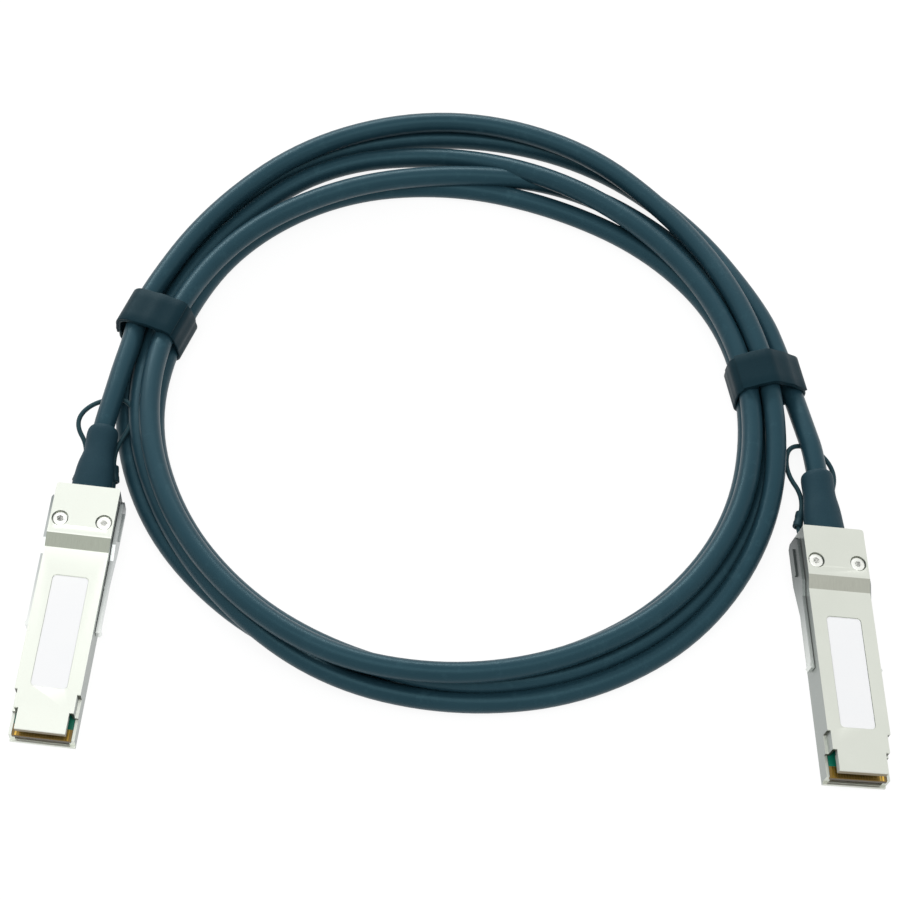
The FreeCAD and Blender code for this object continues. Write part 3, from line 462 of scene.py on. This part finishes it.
def thicken(work, thickness):
    bmesh.ops.remove_doubles(work, verts=work.verts, dist=0.002)
    bmesh.ops.recalc_face_normals(work, faces=work.faces)
    bmesh.ops.solidify(work, geom=work.faces[:], thickness=-thickness)
    bmesh.ops.recalc_face_normals(work, faces=work.faces)
    rims = [e for e in work.edges
            if len(e.link_faces) == 2 and e.calc_face_angle() > straps["rim"]]
    bmesh.ops.bevel(work, geom=rims, offset=straps["roundEdge"], offset_type="OFFSET", segments=2,
                    profile=0.5, affect="EDGES", material=-1, clamp_overlap=True)


def makeStrap(side, material):
    strap = straps[side]
    band = strapSkin(side, 0.0)
    thicken(band, straps["thickness"])
    lap = strapSkin(side, straps["thickness"] + straps["lapGap"])
    low = min(vert.co.x for vert in lap.verts) + straps["lapInset"]
    for corner, facing in (((0, 0, strap["lapFrom"]), (0, 0, 1)), ((low, 0, 0), (1, 0, 0))):
        bmesh.ops.bisect_plane(lap, geom=lap.verts[:] + lap.edges[:] + lap.faces[:], dist=1e-5,
                               plane_co=corner, plane_no=facing, clear_inner=True)
    thicken(lap, straps["thickness"])
    addTo(band, lap)
    for vert in band.verts:
        vert.co.z = max(vert.co.z, straps["lowest"])
    place = Matrix.Translation((strap["place"][0], strap["place"][1], 0)) @ Matrix.Rotation(
        math.radians(strap["outward"]), 4, "Z")
    bmesh.ops.transform(band, matrix=Matrix.Scale(mm, 4) @ place, verts=band.verts)
    addPiece(side + "_strap", band, material, "cable", [side + "_tie"],
             straps["creases"])


strapMaterial = strapFinish()
for side in sides:
    makeStrap(side, strapMaterial)
print("straps wrapped")

boots = {
    # y, half width, half height, sideways shift: a shrunk sleeve over the ferrule and the cable
    "left": [(0.05, 6.0, 4.40, 0.1), (3.0, 5.9, 4.40, 0.0), (6.0, 5.65, 4.35, -0.05),
             (9.0, 5.35, 4.3, -0.1), (11.2, 4.85, 4.2, -0.05), (13.2, 4.42, 4.12, 0.05),
             (15.5, 4.42, 4.15, 0.05), (17.8, 4.62, 4.25, 0.0), (19.8, 4.55, 4.25, 0.0),
             (20.9, 4.15, 3.95, 0.0), (21.3, 3.6, 3.5, 0.0), (21.25, 3.12, 3.12, 0.0)],
    "right": [(0.05, 6.0, 4.4, -0.2), (3.5, 5.85, 4.4, -0.4), (7.0, 5.65, 4.3, -0.45),
              (9.6, 5.3, 4.2, -0.45), (12.0, 4.85, 4.1, -0.55), (14.0, 4.74, 4.1, -0.6),
              (16.4, 4.8, 4.2, -0.6), (18.8, 4.85, 4.25, -0.6), (19.9, 4.6, 4.0, -0.45),
              (20.4, 3.8, 3.55, -0.15), (20.45, 3.3, 3.25, -0.05), (20.3, 3.12, 3.12, 0.0)],
    "rear": (0.05, 3.12, 3.12, 0.0),  # where the bore begins
    "segments": 48,
    "smooth": 2,
    "colours": ((28, 53, 64), (40, 66, 76)),
    "pitted": (22, 44, 54),
    "sheen": (175, 215, 225),
}


def bootFinish():
    finish = Finish("shrunkBoot", {"Specular IOR Level": 0.18,
                                   "Specular Tint": colour(*boots["sheen"])})
    place = finish.place()
    cloud = finish.noise(place, 150.0, 3.0)
    grain = finish.noise(place, 2200.0, 2.0)
    base = finish.mottle(boots["colours"], cloud)
    finish.feed("Base Color", finish.blend(base, colour(*boots["pitted"]), grain * 0.4))
    finish.feed("Roughness", 0.48 + 0.12 * grain)
    finish.bump(grain + 1.4 * cloud, 0.25, 0.0002)
    return finish.material


def makeBoot(side, material):
    work = bmesh.new()
    creases = work.edges.layers.float.new("crease_edge")
    up = cable["axis"]
    stations = [station + (up,) for station in boots[side] + [boots["rear"]]]
    chain = rings(work, stations, boots["segments"])
    bmesh.ops.bridge_loops(work, edges=chain[-1] + chain[0])
    for edge in chain[0]:
        edge[creases] = 1.0
    bmesh.ops.transform(work, matrix=plugHome(side), verts=work.verts)
    boot = addPiece(side + "_strain_boot", work, material, "cable", [side + "_boot"])
    smooth = boot.modifiers.new("smooth", "SUBSURF")
    smooth.levels = smooth.render_levels = boots["smooth"]


bootMaterial = bootFinish()
for side in sides:
    makeBoot(side, bootMaterial)
print("boots shrunk on")

loops = {
    # each loop in its plug's place, from one tail of the slider round to the other
    "left": [(-5.6, -2.3, 0.95), (-5.6, 4.6, 0.95), (-3.5, 15.8, 1.3), (-9.4, 23.6, 2.6),
             (-5.2, 31.0, 2.5), (5.0, 33.8, 2.5), (8.0, 25.8, 2.6), (3.3, 16.2, 1.3),
             (5.6, 5.6, 0.95), (5.6, -2.3, 0.95)],
    "right": [(-5.6, -2.3, 0.95), (-5.6, 0.2, 0.95), (-7.2, 3.6, 1.0), (-3.7, 14.2, 1.1),
              (-8.6, 22.6, 1.2), (-6.6, 32.3, 1.1), (2.6, 31.6, 1.0), (7.3, 23.6, 1.2),
              (4.3, 14.4, 1.1), (5.6, 4.6, 0.95), (5.6, -2.3, 0.95)],
    "wire": 1.4,
    "sleeve": 2.9,
    # places along a sleeve and shares of its radius: rounded ends, and a pressed waist
    "shape": [(-2.6, 0.86), (-2.42, 1.0), (-0.9, 1.0), (-0.55, 0.93), (0.55, 0.93),
              (0.9, 1.0), (2.42, 1.0), (2.6, 0.86), (2.6, 0.5), (-2.6, 0.5)],
    "sleeveCorner": {"left": 1, "right": 2},  # the point from which the first sleeve is placed
    "sleeveStart": 3.2,
    "segments": 24,
    "colours": ((34, 58, 66), (48, 74, 80)),
    "sleeveColours": ((24, 46, 54), (36, 60, 68)),
    "sheen": (175, 215, 225),
}


def loopFinish():
    finish = Finish("loopCoating", {"Specular IOR Level": 0.2,
                                    "Specular Tint": colour(*loops["sheen"])})
    place = finish.place()
    cloud = finish.noise(place, 300.0, 3.0)
    grain = finish.noise(place, 4000.0, 2.0)
    finish.feed("Base Color", finish.mottle(loops["colours"], cloud))
    finish.feed("Roughness", 0.38 + 0.16 * grain)
    finish.bump(grain, 0.2, 0.0001)
    return finish.material


def makeLoop(side, material):
    points = [tuple(onPlug(side, point)) for point in loops[side]]
    loop = makeLine(side + "_finger_loop", points, loops["wire"])
    loop.data.materials.append(material)
    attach(loop, side + "_latch")
    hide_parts(side + "_pull_loop")


def makeSleeves(side, material):
    work = bmesh.new()
    first = loops["sleeveCorner"][side]
    points = [Vector(point) for point in loops[side]]
    radius = loops["sleeve"] / 2
    stations = [(y, radius * share, radius * share, 0, 0) for y, share in loops["shape"]]
    for start, end in ((points[first], points[first + 1]), (points[-2], points[-3])):
        middle = start + (end - start).normalized() * loops["sleeveStart"]
        aim = (end - start).to_track_quat("Y", "Z").to_matrix().to_4x4()
        part = bmesh.new()
        chain = rings(part, stations, loops["segments"])
        bmesh.ops.bridge_loops(part, edges=chain[-1] + chain[0])
        bmesh.ops.transform(part, matrix=Matrix.Translation(middle) @ aim, verts=part.verts)
        addTo(work, part)
    bmesh.ops.transform(work, matrix=plugHome(side), verts=work.verts)
    addPiece(side + "_crimps", work, material, side + "_latch", [side + "_loop_sleeves"])


def sleeveFinish():
    finish = Finish("crimpSleeve", {"Specular IOR Level": 0.2,
                                    "Specular Tint": colour(*loops["sheen"])})
    place = finish.place()
    cloud = finish.noise(place, 400.0, 3.0)
    finish.feed("Base Color", finish.mottle(loops["sleeveColours"], cloud))
    finish.feed("Roughness", 0.36 + 0.2 * cloud)
    finish.bump(finish.noise(place, 3000.0), 0.2, 0.0001)
    return finish.material


loopMaterial = loopFinish()
sleeveMaterial = sleeveFinish()
for side in sides:
    makeLoop(side, loopMaterial)
    makeSleeves(side, sleeveMaterial)
print("pull loops and sleeves made")

screws = {
    "setback": 11.17,  # from the rear
    "apart": 12.54,
    # radius, height and points of each ring, from the socket's floor over the head to the tip
    "rings": [(0.95, 8.6, 6), (0.95, 9.31, 6), (1.03, 9.35, 6), (1.85, 9.35, 36),
              (2.03, 9.28, 36), (2.1, 9.1, 36), (2.1, 8.1, 36), (1.0, 8.1, 24), (1.0, 2.2, 24),
              (0.7, 1.9, 24)],
    "turned": {"left": (10, 34), "right": (52, 17)},  # degrees, each socket
    "colours": ((226, 228, 222), (246, 247, 242)),
}


def screwFinish():
    finish = Finish("screwSteel", {"Metallic": 1.0})
    place = finish.place()
    cloud = finish.noise(place, 500.0, 3.0)
    grain = finish.noise(place, 5000.0, 2.0)
    finish.feed("Base Color", finish.mottle(screws["colours"], cloud))
    finish.feed("Roughness", 0.30 + 0.14 * grain)
    finish.bump(grain, 0.15, 0.00005)
    return finish.material


def makeScrews(side, material):
    work = bmesh.new()
    for sign, turned in zip((-1, 1), screws["turned"][side]):
        chain = []
        for radius, height, count in screws["rings"]:
            place = Matrix.Translation((sign * screws["apart"] / 2, -screws["setback"], height))
            turn = Matrix.Rotation(math.radians(turned if count == 6 else 0.0), 4, "Z")
            chain.append(circle(work, place @ turn, radius, count))
        for first, second in zip(chain, chain[1:]):
            bmesh.ops.bridge_loops(work, edges=first + second)
        bmesh.ops.holes_fill(work, edges=chain[0] + chain[-1], sides=len(chain[-1]))
    bmesh.ops.transform(work, matrix=plugHome(side), verts=work.verts)
    addPiece(side + "_socket_screws", work, material, "cable", [side + "_cover_screws"])


screwMaterial = screwFinish()
for side in sides:
    makeScrews(side, screwMaterial)
print("screws set")

shell = {
    "rampTop": 15.93,  # mm from the rear; the dull band across the cover, darkened with painted shade
    "rampFoot": 19.94,
    "bandAbove": 8.4,
    # the right plug's shell is set darker than the left one: painted shade
    "colours": {"left": ((222, 226, 217), (228, 232, 223)),
                "right": ((208, 212, 202), (218, 221, 212))},
    # the ramp's band: a duller milled finish, its darker tones for each plug are painted shade
    "band": {"left": (154, 159, 147), "right": (176, 178, 167)},
    "scuffed": (196, 198, 188),
    "flankShade": (150, 156, 154),  # painted shade on the upright faces along the plug
    "shade": (64, 64, 56),  # painted shade on the end walls of the notches
    # painted shade, tinted brown-gold like the contacts below it, on the tongue's front face
    "tongueEnd": (116, 104, 74),
    "wallTop": 8.0,
    "noseFrom": 75.0,
    "tongueUnder": 6.0,
    "tongueTop": 8.06,
    "tongueStart": 69.3,
    "flush": 8.53,
    "near": 0.02,  # how closely a height or a place is matched
    "edge": 0.10,
    "broken": 40,  # degrees; sharper edges are broken
    "grain": 0.8,  # how bright the band's grain is
}


def nickelFinish(side):
    finish = Finish(side + "Nickel", {"Metallic": 0.75})
    place = finish.place(side)
    along, up = finish.axes(place)[1:]
    cloud = finish.noise(place, 70.0, 3.0)
    grain = finish.noise(place, 2300.0, 3.0, 0.6)
    streak = finish.noise(finish.stretch(place, (9.0, 0.7, 1.0)), 520.0, 3.0)
    # the ramp's band: duller and streaked, darkened with painted shade
    band = (along < -shell["rampTop"] * mm) * (along > -shell["rampFoot"] * mm)
    band = band * (up > shell["bandAbove"] * mm)
    # each plug's tones, the right one darker as painted shade
    plain = finish.mottle(shell["colours"][side], cloud)
    scuff = finish.spread(grain, 0.60, 0.80) * 0.25
    plain = finish.blend(plain, colour(*shell["scuffed"]), scuff)
    dullAndShaded = colour(*shell["band"][side])
    grained = tuple(part * shell["grain"] for part in dullAndShaded[:3]) + (1.0,)
    milledAndShaded = finish.blend(dullAndShaded, grained, streak)
    plain = finish.blend(plain, milledAndShaded, band)
    # painted shade: the upright faces along the plug are darkened
    plain = finish.blend(plain, colour(*shell["flankShade"]), finish.facing(side, (1, 0, 0)) * 0.85)
    # painted shade on the walls that face along the plug, below the wall top
    shadedEndWalls = finish.facing(side, (0, 1, 0)) * (up < shell["wallTop"] * mm)
    nose = along < -shell["noseFrom"] * mm
    plain = finish.blend(plain, colour(*shell["shade"]), shadedEndWalls * (1.0 - nose) * 0.9)
    # painted shade on the tongue's front face
    tongueFaceShade = shadedEndWalls * nose * (up > shell["tongueUnder"] * mm)
    finish.feed("Base Color", finish.blend(plain, colour(*shell["tongueEnd"]), tongueFaceShade * 0.9))
    finish.feed("Roughness", 0.34 + 0.10 * grain + 0.12 * band)
    finish.bump(grain + 0.6 * streak * band, 0.10, 0.0001)
    return finish.material


slider = {
    # painted reflection: the slider runs from dark at the rear to bright at the front, and the
    # right plug's darker stops are painted shade
    "span": (0.002, 0.0435),  # m from the rear, where the stops begin and end
    # each stop's red, green and blue in linear light
    "left": [(0.0, (0.14, 0.165, 0.165)), (0.2, (0.38, 0.41, 0.40)),
             (0.6, (0.50, 0.53, 0.52)), (1.0, (0.80, 0.83, 0.80))],
    "right": [(0.0, (0.05, 0.066, 0.065)), (0.28, (0.11, 0.13, 0.125)),
              (0.6, (0.36, 0.39, 0.38)), (1.0, (0.70, 0.73, 0.70))],
}


def sliderFinish(side):
    finish = Finish(side + "SliderSteel", {"Metallic": 1.0})
    place = finish.place(side)
    along = finish.axes(place)[1]
    streak = finish.noise(finish.stretch(place, (6.0, 0.25, 6.0)), 700.0, 4.0, 0.6)
    cloud = finish.noise(place, 90.0, 2.0)
    share = finish.spread(-1.0 * along, *slider["span"]) + 0.05 * (streak - 0.5)
    # painted reflection of the surroundings, dark at the rear and bright at the front
    paintedReflection = finish.node("ShaderNodeValToRGB", {"stops": slider[side]}, {0: share})
    finish.feed("Base Color", finish.blend(paintedReflection, finish.blend(paintedReflection, (1, 1, 1, 1), 0.12), streak))
    finish.feed("Roughness", 0.20 + 0.16 * streak + 0.06 * cloud)
    finish.bump(streak, 0.18, 0.00006)
    return finish.material


label = {"colours": ((252, 252, 252), (246, 248, 250))}


def labelFinish():
    finish = Finish("blankSticker", {"Specular IOR Level": 0.35})
    place = finish.place()
    fibre = finish.noise(place, 3500.0, 3.0, 0.6)
    cloud = finish.noise(place, 60.0, 2.0)
    finish.feed("Base Color", finish.mottle(label["colours"], cloud))
    finish.feed("Roughness", 0.42 + 0.12 * fibre)
    finish.bump(fibre, 0.12, 0.00005)
    return finish.material


board = {
    "plated": 72.4,  # mm from the rear
    "colours": ((0, 100, 82), (6, 124, 100)),
    "weave": (24, 140, 112),
    # the plated end: gold plating darkened with painted shade from the tongue above
    "shadedPlating": ((126, 100, 46), (150, 122, 62)),
    # the board's front edge: its own brown darkened with painted shade
    "cut": (74, 62, 40),
}


def boardFinish(side):
    finish = Finish(side + "BoardGreen", {"Specular IOR Level": 0.5})
    place = finish.place(side)
    along = finish.axes(place)[1]
    weave = finish.node("ShaderNodeTexWave", {"wave_type": "BANDS"},
                        {"Vector": place, "Scale": 700.0, "Distortion": 1.5, "Detail": 1.0})
    cloud = finish.noise(place, 500.0, 3.0)
    base = finish.mottle(board["colours"], cloud)
    base = finish.blend(base, colour(*board["weave"]), weave * 0.25)
    # the plated end, darkened with painted shade
    plated = along < -board["plated"] * mm
    base = finish.blend(base, finish.mottle(board["shadedPlating"], cloud), plated)
    # painted shade on the board's front edge
    shadedFrontEdge = finish.facing(side, (0, 1, 0)) * plated
    finish.feed("Base Color", finish.blend(base, colour(*board["cut"]), shadedFrontEdge))
    finish.feed("Roughness", 0.32 + 0.10 * cloud)
    finish.bump(weave, 0.10, 0.00003)
    return finish.material


pads = {
    "colours": ((214, 170, 66), (240, 200, 104)),
    "rubbed": (180, 134, 50),
    "shaded": (128, 108, 66),
    "shade": (0.0072, 0.0056),  # m from the middle, where the tongue's shade begins and is full
}


def goldFinish(side):
    finish = Finish(side + "ContactGold", {"Metallic": 1.0})
    place = finish.place(side)
    across = finish.axes(place)[0]
    cloud = finish.noise(place, 900.0, 3.0)
    rub = finish.spread(finish.noise(place, 2400.0, 3.0), 0.55, 0.75)
    base = finish.mottle(pads["colours"], cloud)
    base = finish.blend(base, colour(*pads["rubbed"]), rub * 0.5)
    inner = finish.spread(abs(across), *pads["shade"])
    finish.feed("Base Color", finish.blend(base, colour(*pads["shaded"]), inner * 0.85))
    finish.feed("Roughness", 0.24 + 0.14 * cloud)
    finish.bump(cloud, 0.08, 0.00002)
    return finish.material


def plainFinish(name, colours, scale, constants, rough, depth):  # mottled, with a fine grain
    finish = Finish(name, constants)
    place = finish.place()
    cloud = finish.noise(place, scale, 3.0)
    grain = finish.noise(place, scale * 8, 2.0)
    finish.feed("Base Color", finish.mottle(colours, cloud))
    finish.feed("Roughness", rough + 0.14 * grain)
    finish.bump(grain + cloud, 0.2, depth)
    return finish.material


def dress(name, material):
    slots = nodes[name].data.materials
    if len(slots) == 0:
        slots.append(material)
    for index in range(len(slots)):
        slots[index] = material


def makeCover(side, material):  # the cover again, with its tongue flush and its edges broken
    work = bmesh.new()
    work.from_mesh(nodes[side + "_upper_shell"].data)
    bmesh.ops.remove_doubles(work, verts=work.verts, dist=2e-6)
    home = plugHome(side)
    bmesh.ops.transform(work, matrix=home.inverted(), verts=work.verts)
    near = shell["near"]
    for vert in work.verts:
        if (vert.co.y < -shell["tongueStart"] + near
                and abs(vert.co.z - shell["tongueTop"]) < near):
            vert.co.z = shell["flush"]
    bmesh.ops.dissolve_degenerate(work, edges=work.edges, dist=0.002)
    bmesh.ops.dissolve_limit(work, angle_limit=math.radians(1), verts=work.verts,
                             edges=work.edges)
    bmesh.ops.transform(work, matrix=home, verts=work.verts)
    cover = addPiece(side + "_cover", work, material, "cable",
                     [side + "_upper_shell"], 30.0)
    broken = cover.modifiers.new("edges", "BEVEL")
    broken.width = shell["edge"] * mm
    broken.segments = 2
    broken.limit_method = "ANGLE"
    broken.angle_limit = math.radians(shell["broken"])
    broken.harden_normals = True


shared = {
    "blank_label": labelFinish(),
    "board_chips": plainFinish("chipResin", ((24, 25, 27), (40, 41, 43)), 900.0, {}, 0.5,
                               0.00004),
    "wire_pairs": plainFinish("wireFilm", ((172, 178, 188), (206, 210, 216)), 700.0,
                              {"Coat Weight": 0.2}, 0.3, 0.00004),
    "potting_block": plainFinish("pottingResin", ((196, 180, 140), (220, 206, 170)), 300.0,
                                 {"Subsurface Weight": 0.1}, 0.35, 0.0001),
    "cable_ferrule": plainFinish("ferruleBrass", ((176, 160, 116), (204, 188, 140)), 500.0,
                                 {"Metallic": 1.0}, 0.3, 0.00005),
    "return_springs": plainFinish("springSteel", ((150, 154, 156), (190, 192, 192)), 1500.0,
                                  {"Metallic": 1.0}, 0.28, 0.00002),
}
for side in sides:
    for name, material in shared.items():
        dress(side + "_" + name, material)
    nickel = nickelFinish(side)
    for name in ("_lower_shell", "_upper_shell"):
        dress(side + name, nickel)
    dress(side + "_latch_slider", sliderFinish(side))
    dress(side + "_circuit_board", boardFinish(side))
    dress(side + "_contact_pads", goldFinish(side))
    makeCover(side, nickel)
print("metal, board and label finished")

studio = {
    "fill": 0.51,  # how brightly the plain surroundings light the object
    "top": {"place": (0.0, -0.25, 1.2), "size": (1.1, 0.6), "power": 4.6},
    "back": {"place": (-0.25, 1.25, 0.66), "size": (1.3, 0.24), "power": 12.0},
    "aim": (0.0, 0.03, 0.0),
    "floorHalf": 3.0,  # m, and so are all measures here
    "floorDrop": 0.0002,
    "floorSeen": 0.90,  # its glow where it is seen
    "floorShade": 0.16,  # how much of the shadow shows on it
    "floorPlain": 0.8,  # its grey for the light that it throws back
}


def seenDirectly(tree):  # 1 for camera, glossy and transmission rays
    total = tree.node("ShaderNodeLightPath", output="Is Camera Ray")
    for name in ("Is Glossy Ray", "Is Transmission Ray"):
        ray = tree.node("ShaderNodeLightPath", output=name)
        total = tree.node("ShaderNodeMath", {"operation": "MAXIMUM"}, {0: total, 1: ray})
    return total


def grey(level):
    return (level, level, level, 1.0)


def makeFloor():
    work = bmesh.new()
    bmesh.ops.create_grid(work, x_segments=1, y_segments=1, size=studio["floorHalf"])
    data = bpy.data.meshes.new("floor")
    work.to_mesh(data)
    work.free()
    floor = bpy.data.objects.new("floor", data)
    scene.collection.objects.link(floor)
    floor.location = (0, 0, -studio["floorDrop"])
    material = bpy.data.materials.new("paleFloor")
    material.use_nodes = True
    material.node_tree.nodes.clear()
    tree = Tree(material.node_tree)
    glow = tree.node("ShaderNodeEmission", {}, {"Strength": studio["floorSeen"]})
    shade = tree.node("ShaderNodeBsdfDiffuse", {}, {"Color": grey(studio["floorShade"])})
    seen = tree.node("ShaderNodeAddShader", {}, {0: glow, 1: shade})
    plain = tree.node("ShaderNodeBsdfDiffuse", {}, {"Color": grey(studio["floorPlain"])})
    choice = tree.node("ShaderNodeMixShader", {}, {0: seenDirectly(tree), 1: plain, 2: seen})
    tree.node("ShaderNodeOutputMaterial", {}, {"Surface": choice})
    data.materials.append(material)


def makeLamp(name, place, size, power):
    data = bpy.data.lights.new(name, "AREA")
    data.shape = "RECTANGLE"
    data.size, data.size_y = size
    data.energy = power
    lamp = bpy.data.objects.new(name, data)
    scene.collection.objects.link(lamp)
    lamp.location = place
    lamp.rotation_mode = "QUATERNION"
    aim = Vector(studio["aim"]) - Vector(place)
    lamp.rotation_quaternion = aim.to_track_quat("-Z", "Y")


def makeWorld():
    world = bpy.data.worlds.new("studio")
    scene.world = world
    world.use_nodes = True
    tree = Tree(world.node_tree)
    back = world.node_tree.nodes["Background"]
    back.inputs["Color"].default_value = grey(1.0)
    tree.join(back.inputs["Strength"], tree.node("ShaderNodeMapRange", {}, {
        "Value": seenDirectly(tree), "To Min": studio["fill"], "To Max": 1.0}))


makeFloor()
for name in ("top", "back"):
    makeLamp(name + "Box", studio[name]["place"], studio[name]["size"], studio[name]["power"])
makeWorld()
scene.view_settings.view_transform = "Standard"
print("floor, lamp and surroundings set")
